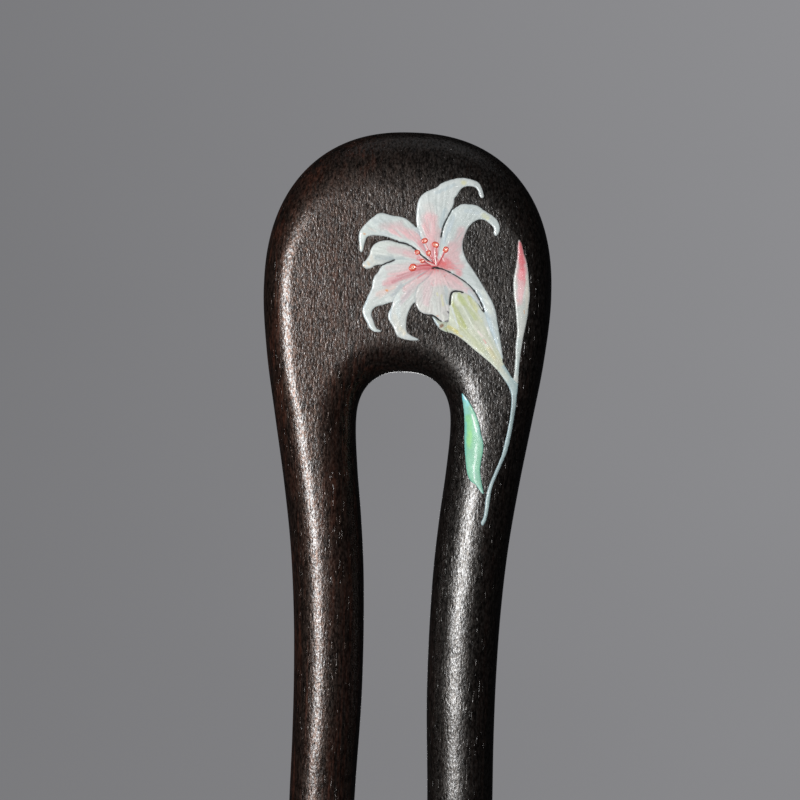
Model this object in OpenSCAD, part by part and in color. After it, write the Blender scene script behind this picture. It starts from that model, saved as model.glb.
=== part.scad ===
// Two-tined wooden hair fork with a lily inlaid in the front of its head.
// It stands on its tips: X is its width, Y its thickness and Z its length.
// The inlaid face looks along -Y, and the origin is midway between the tips.

/* [Fork] */
// Length from the tips to the top of the head
pin_length = 165; // [150:1:180]
// Greatest width of the head
head_width = 36; // [35:0.5:40]
// Thickness of the head
head_thickness = 8; // [7.6:0.2:9]
// Thickness of each tine at mid length
tine_thickness = 7.2; // [6.4:0.2:7.6]
// Wood above the slot, from its arch to the top of the head
bridge_height = 30; // [29:0.25:31]
// Greatest width of the slot between the tines
slot_width = 11.8; // [11:0.2:12.4]
// Width of the rounded band along every edge
edge_band = 4.8; // [4.4:0.2:5.6]
// Length of the rounded nose of each tine
nose_length = 9; // [6:0.5:14]

/* [Inlay] */
// How far the lily stands proud of the wood
proud = 0.15; // [0.05:0.05:0.25]
// Thickness of the inlaid pieces
inlay_thickness = 1; // [0.6:0.1:1.4]
// Dark resin left under the pieces
bed_film = 0.15; // [0.1:0.05:0.3]
// Width of the dark line between two pieces
line_width = 0.2; // [0.1:0.02:0.24]
// How far the dark lines lie below the wood
line_sink = 0.05; // [0.02:0.01:0.1]
// Height of the raised stamens on the petals
stamen_height = 0.12; // [0.08:0.02:0.2]

/* [Hidden] */

wood = "#3b2c26";
resin = "#17151a";
blush = "#dcc3c8";
pearl = "#cfd8da";
lime = "#cdd3b0";
coral = "#e08c90";
jade = "#9bd6b4";
scarlet = "#d9564a";

// Superellipse powers: the crown of the head, the arch of the slot, the rounded edges.
crown_power = 2.3;
arch_power = 2.46;
edge_power = 2.4;
crown_height = 20;
arch_height = 6.6;
// Depth below the top of the head where the slot is widest and the tines begin.
fork_depth = bridge_height + arch_height;
// Share of the head's outline, counted from the top, that the crown takes.
crown_share = 0.65;
// Widest that a rounded band may be, as a share of the wood it rounds.
band_share = 0.46;
// Width of the wood, in bands, at which its two sides begin to face each other squarely.
square_width = 3.2;
// Thickness of the tips as a share of that at mid length, and the depth of mid length.
tip_share = 0.75;
mid_depth = 100;
// Half width of the head and tines, at depths below the top.
flank = [[20, 18], [28, 17.35], [36, 16.05], [44, 14.7], [52, 13.6], [60, 12.95], [68, 12.65],
    [76, 12.6], [84, 12.7], [112, 12.6], [138, 12], [165, 10.4]];
// Half width of the slot, at depths below the top.
slot = [[36.6, 5.9], [42, 5.55], [48, 4.9], [54, 4.4], [60, 4.15], [66, 4.05], [72, 4.1],
    [82, 4.5], [100, 5], [125, 5.4], [165, 5.9]];
drawn_length = 165;
drawn_head = 36;
drawn_slot = 11.8;
drawn_bridge = 30;
// Depth below which a longer or shorter pin stretches.
stretch_depth = 84;

head_steps = 24;
tine_steps = 20;
nose_steps = 8;
nose_end_angle = 84;
band_steps = 7;
curve_steps = 4;
tiny = 0.001;

// Height of the flower's throat: outlines of the inlay are drawn from here.
throat_depth = 17;
throat_z = pin_length - throat_depth;
// Room above the front that the cutting shapes take up.
clearance = 1;
piece_floor = inlay_thickness - proud;
pocket_depth = piece_floor + bed_film;

// Smooth curve through a table of [position, value], level at its start.
function table_slope(t, i) =
    i == 0 ? 0
    : i == len(t) - 1 ? (t[i][1] - t[i - 1][1]) / (t[i][0] - t[i - 1][0])
    : (t[i + 1][1] - t[i - 1][1]) / (t[i + 1][0] - t[i - 1][0]);
function table_row(t, x, i = 0) = i >= len(t) - 2 || x <= t[i + 1][0] ? i : table_row(t, x, i + 1);
function table_at(t, x) =
    let (i = table_row(t, x), step = t[i + 1][0] - t[i][0], u = (x - t[i][0]) / step)
    (1 + 2 * u) * (1 - u) * (1 - u) * t[i][1] + u * (1 - u) * (1 - u) * step * table_slope(t, i)
    + u * u * (3 - 2 * u) * t[i + 1][1] - u * u * (1 - u) * step * table_slope(t, i + 1);

function unit(v) = v / norm(v);
function mix(a, b, share) = a + (b - a) * share;
function limit(x) = max(0, min(1, x));
// Point of a quarter superellipse: angle 0 is its top, 90 its side.
function arc_point(w, h, power, angle) =
    [w * pow(sin(angle), 2 / power), h * pow(cos(angle), 2 / power)];

// Depth in the drawn proportions for a real depth below the top.
function drawn_depth(d) =
    d <= stretch_depth ? d
    : stretch_depth + (d - stretch_depth) * (drawn_length - stretch_depth) / (pin_length - stretch_depth);
function flank_at(d) = table_at(flank, drawn_depth(d)) * head_width / drawn_head;
function slot_at(d) = table_at(slot, drawn_depth(d) - bridge_height + drawn_bridge) * slot_width / drawn_slot;
function half_thickness(d) =
    table_at([[fork_depth, head_thickness], [mid_depth, tine_thickness],
        [pin_length, tine_thickness * tip_share]], max(d, fork_depth)) / 2;

// Outer and inner outline of the head's right half, share 0 at the top and 1 where the tine begins.
function crown_side(share) =
    share < crown_share
    ? [0, pin_length - crown_height]
        + arc_point(head_width / 2, crown_height, crown_power, 90 * share / crown_share)
    : let (d = crown_height + (fork_depth - crown_height) * (share - crown_share) / (1 - crown_share))
        [flank_at(d), pin_length - d];
function arch_side(share) =
    [0, pin_length - fork_depth] + arc_point(slot_width / 2, arch_height, arch_power, 90 * share);
// Direction along each outline, and from it into the wood.
function crown_run(share) = unit(crown_side(share + tiny) - crown_side(max(share - tiny, 0)));
function arch_run(share) = unit(arch_side(min(share + tiny, 1)) - arch_side(max(share - tiny, 0)));
function crown_in(share) = let (r = crown_run(share)) [r[1], -r[0]];
function arch_in(share) = let (r = arch_run(share)) [-r[1], r[0]];

// A station is [outer point, inner point, outer direction, inner direction, band, half thickness].
function station(outer, inner, outer_in, inner_in, half) =
    let (across = inner - outer, width = norm(across), band = min(edge_band, band_share * width),
        straight = limit(square_width - width / band))
    [outer, inner, unit(mix(outer_in, across / width, straight)),
        unit(mix(inner_in, -across / width, straight)), band, half];
function head_station(share) =
    station(crown_side(share), arch_side(share), crown_in(share), arch_in(share), head_thickness / 2);
function tine_station(z, nose) =
    let (d = pin_length - z, middle = (flank_at(d) + slot_at(d)) / 2,
        reach = nose * (flank_at(d) - slot_at(d)) / 2)
    station([middle + reach, z], [middle - reach, z], [-1, 0], [1, 0], nose * half_thickness(d));
tine_top = pin_length - fork_depth;
right_half = [
    for (i = [0:head_steps - 1]) head_station(i / head_steps),
    for (i = [0:tine_steps - 1]) tine_station(mix(tine_top, nose_length, i / tine_steps), 1),
    for (i = [0:nose_steps])
        let (angle = nose_end_angle * i / nose_steps)
        tine_station(nose_length * (1 - sin(angle) / sin(nose_end_angle)), cos(angle))
];

// Front half of the ring round one station, from the outer edge to the inner one.
function band_angle(j) = 90 * j / band_steps;
function band_in(s, j) = s[4] * (1 - pow(cos(band_angle(j)), 2 / edge_power));
function outer_row(s, j) = s[0] + s[2] * band_in(s, j);
function inner_row(s, j) = s[1] + s[3] * band_in(s, j);
function lift(s, j) = s[5] * sin(band_angle(j));
function place(p, y, side) = [side * p[0], y, p[1]];
function front_row(s, side) = concat(
    [for (j = [0:band_steps]) place(outer_row(s, j), -lift(s, j), side)],
    [for (j = [band_steps:-1:0]) place(inner_row(s, j), -lift(s, j), side)]);
function back_row(s, side) = concat(
    [for (j = [1:band_steps]) place(inner_row(s, j), lift(s, j), side)],
    [for (j = [band_steps:-1:1]) place(outer_row(s, j), lift(s, j), side)]);
rings = [
    for (i = [len(right_half) - 1:-1:1])
        concat(front_row(right_half[i], -1), back_row(right_half[i], -1)),
    for (s = right_half) concat(front_row(s, 1), back_row(s, 1))
];

module blank() {
    count = len(rings[0]);
    last = len(rings) - 1;
    walls = [for (i = [0:last - 1]) for (j = [0:count - 1])
        let (k = (j + 1) % count)
        [i * count + j, (i + 1) * count + j, (i + 1) * count + k, i * count + k]];
    first_cap = [for (j = [0:count - 1]) j];
    last_cap = [for (j = [count - 1:-1:0]) last * count + j];
    polyhedron([for (r = rings) each r], concat(walls, [first_cap, last_cap]), convexity = 6);
}

// Layer that follows the curved front between two stations of the right half.
// It reaches from one depth below the surface to another; a negative depth is above it.
module front_layer(from_station, to_station, top, bottom) {
    rows = [for (i = [from_station:to_station]) front_row(right_half[i], 1)];
    count = len(rows[0]);
    size = len(rows) * count;
    last = len(rows) - 1;
    upper = [for (r = rows) for (p = r) p + [0, top, 0]];
    lower = [for (r = rows) for (p = r) p + [0, bottom, 0]];
    faces = [
        for (i = [0:last - 1]) for (j = [0:count - 2])
            let (a = i * count + j, b = a + 1, c = b + count, d = a + count)
            each [[d, c, b, a], [size + a, size + b, size + c, size + d]],
        for (i = [0:last - 1]) for (j = [0, count - 1])
            let (a = i * count + j, b = a + count)
            j == 0 ? [size + a, size + b, b, a] : [a, b, size + b, size + a],
        for (j = [0:count - 2]) for (i = [0, last])
            let (a = i * count + j, b = a + 1)
            i == 0 ? [a, b, size + b, size + a] : [size + a, size + b, b, a]
    ];
    polyhedron(concat(upper, lower), faces, convexity = 6);
}

// Smooth run of points through hand-set ones; the last point is left to the next run.
function run_point(p, i, u) =
    let (a = p[max(i - 1, 0)], b = p[i], c = p[i + 1], d = p[min(i + 2, len(p) - 1)])
    b + 0.5 * u * (c - a) + u * u * (a - 2.5 * b + 2 * c - 0.5 * d)
    + 0.5 * u * u * u * (3 * b - a - 3 * c + d);
function run(p) =
    [for (i = [0:len(p) - 2]) for (k = [0:curve_steps - 1]) run_point(p, i, k / curve_steps)];
function outline(runs) = [for (r = runs) each run(r)];

throat = [3.3, 0.3];
petal_top_line = outline([
    [throat, [2.7, 1.2], [2, 2.4], [1.5, 3.4], [1.2, 4.3], [0.9, 5.1], [0.75, 5.9], [0.8, 7.4], [1.1, 8.6],
        [1.9, 9.4], [3.1, 9.95], [3.8, 10.55], [5.2, 11.1], [6.4, 11.3], [7.6, 11.1], [8.4, 10.75],
        [8.8, 10.1], [9, 9.5], [9.1, 9], [8.8, 8.8], [8.5, 9.1], [8.3, 9.7], [7.9, 10.15], [7.1, 10.25],
        [6.4, 10], [6, 9.5], [5.8, 9.1], [5.5, 8.7], [5.45, 8.1]],
    [[5.45, 8.1], [5.2, 7.4], [4.7, 6.4], [4.25, 5.4], [4, 4.4], [3.85, 3], [3.6, 1.4], throat]]);
petal_right_line = outline([
    [throat, [3.4, 2], [3.6, 4], [4.1, 5.8], [5, 7.1], [5.4, 7.45]],
    [[5.4, 7.45], [5.8, 7.7], [6.3, 8], [7.1, 8.05], [8.3, 7.9], [9.2, 7.35], [10.2, 6.75], [10.9, 6.1],
        [11.2, 5.3], [11.1, 4.6], [10.75, 4.15], [10.4, 4.5], [10.4, 5.15], [9.8, 5.75], [9.1, 6.15],
        [8.4, 6.1], [7.8, 5.7], [7.3, 5.1], [6.95, 4.3], [6.7, 3.3], [6.75, 2.3], [7.3, 1], [8, 0],
        [8.7, -1], [9.35, -2], [10, -3], [10.6, -4], [11, -5], [11.3, -6.4], [11.6, -8], [11.95, -9.8],
        [12.25, -11.65]],
    [[12.25, -11.65], [11.2, -10], [10, -7.2], [9, -5], [7.5, -2.5], [5.2, -0.9], throat]]);
petal_upper_left_line = outline([
    [throat, [2.6, 2.4], [1.7, 4], [0.6, 5.15], [-0.6, 6.05], [-2.2, 6.35], [-3.7, 6.6], [-4.6, 6.05],
        [-5.4, 5.3], [-6.1, 4.4], [-6.3, 3.6], [-6.2, 2.6], [-6.1, 1.8], [-5.8, 1.65], [-5.6, 2.1],
        [-5.45, 2.8], [-5.2, 3.5], [-4.6, 3.75], [-3.8, 3.75], [-2.6, 3.6], [-1.5, 3.15]],
    [[-1.5, 3.15], [0, 2.2], [1.6, 1], throat]]);
petal_mid_left_line = outline([
    [throat, [2.1, 1.15], [1.4, 1.65], [0.5, 2.45], [-0.5, 2.9], [-1.6, 3.05], [-2.6, 3.25], [-3.6, 3.1],
        [-4.3, 2.7], [-4.7, 2.1], [-4.9, 1.4], [-5.25, 0.75], [-5.7, 0.3], [-5.65, -0.1], [-5.2, -0.4],
        [-4.6, -0.3], [-4, 0], [-3.2, 0.15]],
    [[-3.2, 0.15], [-1.5, 0.5], [1, 0.4], throat]]);
petal_lower_left_line = outline([
    [throat, [2.2, 0.6], [1.1, 0.85], [-0.4, 1], [-1.5, 0.9], [-2.2, 0.6], [-2.9, 0.3], [-3.45, -0.15],
        [-3.8, -0.8], [-4.2, -1.3], [-4.4, -2], [-4.5, -2.8], [-4.9, -3.7], [-5.25, -4.6], [-5.55, -5.5],
        [-5.35, -6.3], [-4.9, -7.1], [-4.5, -7.8], [-4, -8.15], [-3.4, -8.2], [-2.95, -8], [-3.5, -7.8],
        [-3.85, -7.4], [-4.1, -6.7], [-4.35, -6], [-4.15, -5.4], [-3.7, -5], [-2.8, -4.75], [-1.8, -4.35]],
    [[-1.8, -4.35], [-0.8, -3], [1, -1.2], throat]]);
petal_bottom_line = outline([
    [throat, [2.2, -0.6], [0.8, -1.4], [-0.3, -2.2], [-1, -2.9], [-1.5, -3.6], [-1.8, -4.35]],
    [[-1.8, -4.35], [-2, -5.1], [-2.35, -5.9], [-2.25, -6.6], [-1.85, -7.2], [-1.5, -7.8], [-1.25, -8.4],
        [-0.7, -8.85], [0.2, -9.05], [1.1, -9.1], [1.75, -8.95], [1.2, -8.7], [0.5, -8.35], [0.1, -7.9],
        [0, -7.2], [0.05, -6.3], [0.3, -5.4], [0.65, -4.7], [1, -4.25]],
    [[1, -4.25], [1.8, -2.6], [2.7, -0.8], throat]]);
petal_front_line = outline([
    [[3.2, -0.1], [2.7, -0.9], [2.1, -1.5], [1.5, -2.05], [1.15, -2.6], [1, -3.4], [1, -4.25]],
    [[1, -4.25], [1.15, -4.8], [1.55, -5.4], [2.2, -5.75], [3, -5.85], [3.6, -6.1], [4.2, -6.55], [4.7, -6.65],
        [5.2, -6.6]],
    [[5.2, -6.6], [5.25, -5.6], [5.3, -4.5], [5.35, -3.5], [5.6, -2.9], [6.2, -2.8], [6.9, -2.95], [7.7, -3.3],
        [8.4, -3.9], [9.05, -4.7], [9.7, -5.6]],
    [[9.7, -5.6], [9.25, -4.4], [8.7, -3.3], [8.1, -2.5], [7.3, -1.75], [6.3, -1.1], [5.2, -0.5], [4.2, -0.1],
        [3.2, -0.1]]]);
petal_back_tip_line = outline([
    [[2.9, -5.8], [3.4, -6.6], [3.8, -7.2], [4.2, -7.6], [4.7, -7.85], [5.2, -7.95]],
    [[5.2, -7.95], [5.5, -7], [5, -6.2], [3.8, -5.6], [2.9, -5.8]]]);
trumpet_line = outline([
    [[5.2, -7.95], [4.95, -7.3], [5.05, -6.5], [4.8, -5], [5, -3.2], [5.8, -2.3], [7.2, -2.3], [8, -2.95],
        [8.6, -3.7], [9.15, -4.6], [9.7, -5.6]],
    [[9.7, -5.6], [10.2, -7], [10.8, -8.4], [11.4, -9.8], [12.25, -11.65]],
    [[12.25, -11.65], [11.4, -12.4]],
    [[11.4, -12.4], [10.5, -11.55], [9.5, -10.75], [8.5, -10], [7.5, -9.15], [6.5, -8.45], [5.8, -8.1],
        [5.2, -7.95]]]);
stem_line = outline([
    [[11.4, -12.4], [12.25, -11.65]],
    [[12.25, -11.65], [12.75, -12.35], [13.2, -13.1], [13.45, -13.5]],
    [[13.45, -13.5], [14.1, -14.1]],
    [[14.1, -14.1], [14.05, -15.2], [13.9, -17], [13.65, -19], [13.35, -21], [12.95, -22.7], [12.35, -24.2],
        [11.75, -25.7], [11.3, -27], [11.1, -28.3], [10.95, -29.7], [10.7, -31], [10.3, -31.75], [10, -31.4],
        [10.3, -30.6], [10.45, -29.4], [10.5, -28.3], [10.75, -27.1], [11.2, -25.8], [11.75, -24.4],
        [12.3, -22.9], [12.65, -21.3], [12.95, -19.8], [13.2, -18], [13.3, -16.4], [13.2, -15.3],
        [12.8, -14.3], [12.1, -13.3], [11.4, -12.4]]]);
bud_line = outline([
    [[13.55, 4], [13.95, 3.4], [14.3, 2.2], [14.75, 0.9], [14.95, -0.5], [15.1, -1.8], [15.2, -3],
        [15.1, -4.4], [15, -5.6], [14.8, -6.9], [14.55, -8.3], [14.3, -10.2], [14.15, -12], [14.1, -14.1]],
    [[14.1, -14.1], [13.45, -13.5]],
    [[13.45, -13.5], [13.55, -12.3], [13.6, -10.6], [13.6, -9.2], [13.7, -7.5], [13.55, -5.8], [13.35, -4.2],
        [13.15, -3], [13.05, -1.5], [13.15, -0.3], [13.35, 0.8], [13.45, 2], [13.45, 3.2], [13.55, 4]]]);
leaf_line = outline([
    [[7.05, -15.2], [7.7, -15.9], [8.4, -16.9], [9.1, -18.2], [9.5, -19.4], [9.7, -20.4], [10, -21.3],
        [10.05, -22.4], [9.85, -23.7], [9.75, -24.9], [9.95, -26.2], [10.35, -28]],
    [[10.35, -28], [9.8, -27.5], [9.2, -26.7], [8.6, -26.3], [8.2, -25.6], [7.95, -24.5], [7.8, -23.2],
        [7.65, -21.5], [7.6, -19.5], [7.5, -18], [7.3, -16.6], [7.05, -15.2]]]);

// Flower pieces from the front one to the back one: each hides what lies behind it.
flower_lines = [petal_front_line, trumpet_line, petal_bottom_line, petal_lower_left_line,
    petal_mid_left_line, petal_top_line, petal_upper_left_line, petal_right_line, petal_back_tip_line];
front_i = 0;
trumpet_i = 1;
bottom_i = 2;
lower_left_i = 3;
mid_left_i = 4;
top_i = 5;
upper_left_i = 6;
right_i = 7;
back_tip_i = 8;
sprig_lines = [stem_line, bud_line, leaf_line];

// Stations of the front that the bud, the stem and the leaf lie across.
sprig_from = 8;
sprig_to = head_steps + 4;
bud_to = head_steps;
stem_from = head_steps - 5;
leaf_from = head_steps - 10;

// A piece of the flower cut back by those in front of it, and by half a line all round.
module flower_piece_shape(i) {
    offset(delta = -line_width / 2)
        difference() {
            polygon(flower_lines[i]);
            for (j = [0:1:i - 1]) polygon(flower_lines[j]);
        }
}

module sprig_piece_shape(line) {
    offset(delta = -line_width / 2) polygon(line);
}

module pocket_shape(lines) {
    offset(delta = line_width / 4)
        offset(delta = -line_width / 4)
            for (line = lines) polygon(line);
}

// Straight-sided plate on the front: its outline is drawn in X and Z from the throat's height.
module front_plate(front_y, depth) {
    translate([0, front_y + depth, throat_z])
        rotate([90, 0, 0])
            linear_extrude(depth) children();
}

// Column of the same outline that runs right through the front skin.
module front_column() {
    front_plate(-head_thickness, head_thickness) children();
}

module flower_piece(i) {
    front_plate(-head_thickness / 2 - proud, inlay_thickness) flower_piece_shape(i);
}

module sprig_piece(line, from_station, to_station) {
    intersection() {
        front_column() sprig_piece_shape(line);
        front_layer(from_station, to_station, -proud, piece_floor);
    }
}

module fork_body() {
    color(wood) difference() {
        blank();
        front_plate(-head_thickness, head_thickness / 2 + pocket_depth) pocket_shape(flower_lines);
        intersection() {
            front_column() pocket_shape(sprig_lines);
            front_layer(sprig_from, sprig_to, -clearance, pocket_depth);
        }
    }
}

// Resin under and between the pieces of the flower.
module flower_bed() {
    difference() {
        front_plate(-head_thickness / 2 + line_sink, pocket_depth - line_sink) pocket_shape(flower_lines);
        front_plate(-head_thickness, head_thickness / 2 + piece_floor)
            for (i = [0:len(flower_lines) - 1]) flower_piece_shape(i);
    }
}

// The same under the bud, the stem and the leaf, where the front is curved.
module sprig_bed() {
    difference() {
        intersection() {
            front_column() pocket_shape(sprig_lines);
            front_layer(sprig_from, sprig_to, line_sink, pocket_depth);
        }
        intersection() {
            front_column() for (line = sprig_lines) sprig_piece_shape(line);
            front_layer(sprig_from, sprig_to, -clearance, piece_floor);
        }
    }
}

module inlay_bed() {
    color(resin) {
        flower_bed();
        sprig_bed();
    }
}

module petal_top() { color(blush) flower_piece(top_i); }
module petal_right() { color(pearl) flower_piece(right_i); }
module petal_upper_left() { color(pearl) flower_piece(upper_left_i); }
module petal_mid_left() { color(pearl) flower_piece(mid_left_i); }
module petal_lower_left() { color(blush) flower_piece(lower_left_i); }
module petal_bottom() { color(pearl) flower_piece(bottom_i); }
module petal_front() { color(blush) flower_piece(front_i); }
module petal_back_tip() { color(pearl) flower_piece(back_tip_i); }
module trumpet() { color(lime) flower_piece(trumpet_i); }
module stem() { color(pearl) sprig_piece(stem_line, stem_from, sprig_to); }
module bud() { color(coral) sprig_piece(bud_line, sprig_from, bud_to); }
module leaf() { color(jade) sprig_piece(leaf_line, leaf_from, sprig_to); }

// Stamens: [anther x, anther z, anther radius], drawn from the throat's height.
stamens = [[1.9, 3.3, 0.38], [3.25, 2.85, 0.42], [4.55, 2.3, 0.38], [2.45, 1.8, 0.36], [1.05, 1.85, 0.34],
    [1.7, 0.8, 0.3], [0.55, -0.05, 0.5]];
stamen_root = [3.5, 0.2];
filament_root_width = 0.2;
filament_tip_width = 0.12;
dimple_share = 0.45;
dot_sides = 32;

// Tapered strip from one point to another.
function strip(a, b, width_a, width_b) =
    let (side = unit([a[1] - b[1], b[0] - a[0]]) / 2)
    [a + side * width_a, b + side * width_b, b - side * width_b, a - side * width_a];

module on_petals(height) {
    front_plate(-head_thickness / 2 - proud - height, height) children();
}

module filaments() {
    color(blush) on_petals(stamen_height / 2)
        difference() {
            for (s = stamens)
                polygon(strip(stamen_root, [s[0], s[1]], filament_root_width, filament_tip_width));
            for (s = stamens) translate([s[0], s[1]]) circle(r = s[2], $fn = dot_sides);
        }
}

module anther_dots() {
    color(scarlet)
        for (s = stamens) difference() {
            on_petals(stamen_height) translate([s[0], s[1]]) circle(r = s[2], $fn = dot_sides);
            translate([0, -stamen_height, 0])
                on_petals(stamen_height / 2)
                    translate([s[0], s[1]]) circle(r = s[2] * dimple_share, $fn = dot_sides);
        }
}

fork_body();
inlay_bed();
petal_top();
petal_right();
petal_upper_left();
petal_mid_left();
petal_lower_left();
petal_bottom();
petal_front();
petal_back_tip();
trumpet();
stem();
bud();
leaf();
filaments();
anther_dots();
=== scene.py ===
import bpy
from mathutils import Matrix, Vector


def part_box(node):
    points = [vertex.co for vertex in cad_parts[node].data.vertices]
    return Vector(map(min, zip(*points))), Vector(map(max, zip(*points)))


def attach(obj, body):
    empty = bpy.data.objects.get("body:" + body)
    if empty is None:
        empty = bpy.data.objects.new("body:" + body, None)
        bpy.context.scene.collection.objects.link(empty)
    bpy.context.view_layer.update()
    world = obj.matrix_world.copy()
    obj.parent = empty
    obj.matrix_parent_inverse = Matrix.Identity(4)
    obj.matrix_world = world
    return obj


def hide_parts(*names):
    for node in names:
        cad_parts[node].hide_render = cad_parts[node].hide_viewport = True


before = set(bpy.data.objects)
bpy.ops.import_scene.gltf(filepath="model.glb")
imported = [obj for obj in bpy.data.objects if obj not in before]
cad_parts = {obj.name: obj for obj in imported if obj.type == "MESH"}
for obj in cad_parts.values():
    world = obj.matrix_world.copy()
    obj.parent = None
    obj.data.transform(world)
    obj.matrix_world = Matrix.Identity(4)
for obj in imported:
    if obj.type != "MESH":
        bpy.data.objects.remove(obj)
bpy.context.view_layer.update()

import math

import bpy
import numpy as np
from mathutils import Vector, noise
from mathutils.bvhtree import BVHTree
from mathutils.geometry import delaunay_2d_cdt

mm = 0.001  # everything below is worked out in millimetres and built in metres
bodyLow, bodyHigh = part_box("fork_body")
pinLength = (bodyHigh.z - bodyLow.z) / mm
headWidth = (bodyHigh.x - bodyLow.x) / mm
headThickness = (bodyHigh.y - bodyLow.y) / mm
throatZ = pinLength - 17  # height of the flower's throat


def tableSlope(table, i):
    if i == 0:
        return 0.0
    before, after = table[i - 1], table[min(i + 1, len(table) - 1)]
    return (after[1] - before[1]) / (after[0] - before[0])


def tableAt(table, x):  # smooth curve through [position, value] rows, level at its start
    i = 0
    while i < len(table) - 2 and x > table[i + 1][0]:
        i += 1
    step = table[i + 1][0] - table[i][0]
    u = (x - table[i][0]) / step
    v = 1 - u
    value = (1 + 2 * u) * v * v * table[i][1] + u * v * v * step * tableSlope(table, i)
    return value + u * u * (3 - 2 * u) * table[i + 1][1] - u * u * v * step * tableSlope(table, i + 1)


def unit(v):
    return v / np.linalg.norm(v)


def meshObject(name, verts, faces):  # verts in millimetres
    mesh = bpy.data.meshes.new(name)
    mesh.from_pydata((np.asarray(verts) * mm).tolist(), [], faces)
    mesh.validate()
    piece = bpy.data.objects.new(name, mesh)
    bpy.context.scene.collection.objects.link(piece)
    return piece


def shadeSmooth(piece, angle=35):
    mesh = piece.data
    mesh.polygons.foreach_set("use_smooth", [True] * len(mesh.polygons))
    mesh.set_sharp_from_angle(angle=math.radians(angle))


# The wooden fork. Depths run down from the top of the head.
bodyShape = {
    "crownPower": 2.3, "archPower": 2.46, "headEdgePower": 2.4, "tineEdgePower": 2.0, "roundBelow": (9, 13),
    "crownHeight": 20, "archHeight": 6.6, "bridgeHeight": 30, "slotWidth": 11.8,
    "crownBand": 8.5, "headBand": 3.9, "slotBand": 5.0, "headShare": 0.45, "slotShare": 0.545,
    "crownShare": 0.65, "noseLength": 9, "noseEndAngle": 84,
    "flank": [[20, 18], [28, 17.35], [36, 16.05], [44, 14.7], [52, 13.6], [60, 12.95], [68, 12.65],
              [76, 12.6], [84, 12.7], [112, 12.6], [138, 12], [165, 10.4]],
    "slot": [[36.6, 5.9], [42, 5.55], [48, 4.9], [54, 4.4], [60, 4.15], [66, 4.05], [72, 4.1],
             [82, 4.5], [100, 5], [125, 5.4], [165, 5.9]],
    "halfThickness": [[36.6, 4], [100, 3.6], [165, 2.7]],
    "headRings": 130, "tineRings": 170, "noseRings": 36, "bandSteps": 30,
    "handWobble": 0.035,
}
forkDepth = bodyShape["bridgeHeight"] + bodyShape["archHeight"]


def arcPoint(width, height, power, angle):  # quarter superellipse: 0 is its top, 90 degrees its side
    a = math.radians(angle)
    return np.array([width * math.sin(a) ** (2 / power), height * max(math.cos(a), 0.0) ** (2 / power)])


def crownSide(share):
    s = bodyShape
    if share < s["crownShare"]:
        arc = arcPoint(headWidth / 2, s["crownHeight"], s["crownPower"], 90 * share / s["crownShare"])
        return arc + [0, pinLength - s["crownHeight"]]
    along = (share - s["crownShare"]) / (1 - s["crownShare"])
    depth = s["crownHeight"] + (forkDepth - s["crownHeight"]) * along
    return np.array([tableAt(s["flank"], depth), pinLength - depth])


def archSide(share):
    s = bodyShape
    arc = arcPoint(s["slotWidth"] / 2, s["archHeight"], s["archPower"], 90 * share)
    return arc + [0, pinLength - forkDepth]


def inward(side, share, turn):
    step = 0.001
    run = unit(side(min(share + step, 1)) - side(max(share - step, 0)))
    return turn * np.array([run[1], -run[0]])


def station(outer, inner, outerIn, innerIn, half, edgeBand):
    s = bodyShape
    width = np.linalg.norm(inner - outer)
    across = (inner - outer) / width
    slotBand = min(s["slotBand"], s["slotShare"] * width)
    headBand = min(edgeBand, s["headShare"] * width)
    straight = min(max(3.2 - width / slotBand, 0), 1)
    outerIn = unit(outerIn + (across - outerIn) * straight)
    innerIn = unit(innerIn + (-across - innerIn) * straight)
    return outer, inner, outerIn, innerIn, headBand, slotBand, half


def rightHalf():  # stations from the middle of the head down to the tip of the right tine
    s = bodyShape
    stations = []
    for i in range(s["headRings"]):
        share = i / s["headRings"]
        nearTop = math.cos(math.radians(90 * min(share / s["crownShare"], 1))) ** 2
        band = s["headBand"] + (s["crownBand"] - s["headBand"]) * nearTop
        stations.append(station(crownSide(share), archSide(share), inward(crownSide, share, 1),
                                inward(archSide, share, -1), headThickness / 2, band))
    tineTop = pinLength - forkDepth
    rows = [(tineTop + (s["noseLength"] - tineTop) * i / s["tineRings"], 1.0) for i in range(s["tineRings"])]
    for i in range(s["noseRings"] + 1):
        angle = math.radians(s["noseEndAngle"] * i / s["noseRings"])
        drop = math.sin(angle) / math.sin(math.radians(s["noseEndAngle"]))
        rows.append((s["noseLength"] * (1 - drop), math.cos(angle)))
    for z, nose in rows:
        depth = pinLength - z
        outside, inside = tableAt(s["flank"], depth), tableAt(s["slot"], depth)
        middle, reach = (outside + inside) / 2, nose * (outside - inside) / 2
        half = nose * tableAt(s["halfThickness"], max(depth, forkDepth))
        stations.append(station(np.array([middle + reach, z]), np.array([middle - reach, z]),
                                np.array([-1.0, 0]), np.array([1.0, 0]), half, s["headBand"]))
    return stations


def ringOf(st, side):
    outer, inner, outerIn, innerIn, headBand, slotBand, half = st
    s = bodyShape
    narrow, wide = s["roundBelow"]
    share = min(max((np.linalg.norm(inner - outer) - narrow) / (wide - narrow), 0), 1)
    power = s["tineEdgePower"] + (s["headEdgePower"] - s["tineEdgePower"]) * share
    angles = [math.radians(90 * j / s["bandSteps"]) for j in range(s["bandSteps"] + 1)]
    rows = [(1 - max(math.cos(a), 0.0) ** (2 / power), half * math.sin(a)) for a in angles]
    front = [(outer + outerIn * headBand * along, y) for along, y in rows]
    front += [(inner + innerIn * slotBand * along, y) for along, y in rows[::-1]]
    ring = [(side * p[0], -y, p[1]) for p, y in front]
    return ring + [(side * p[0], y, p[1]) for p, y in front[-2:0:-1]]


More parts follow.
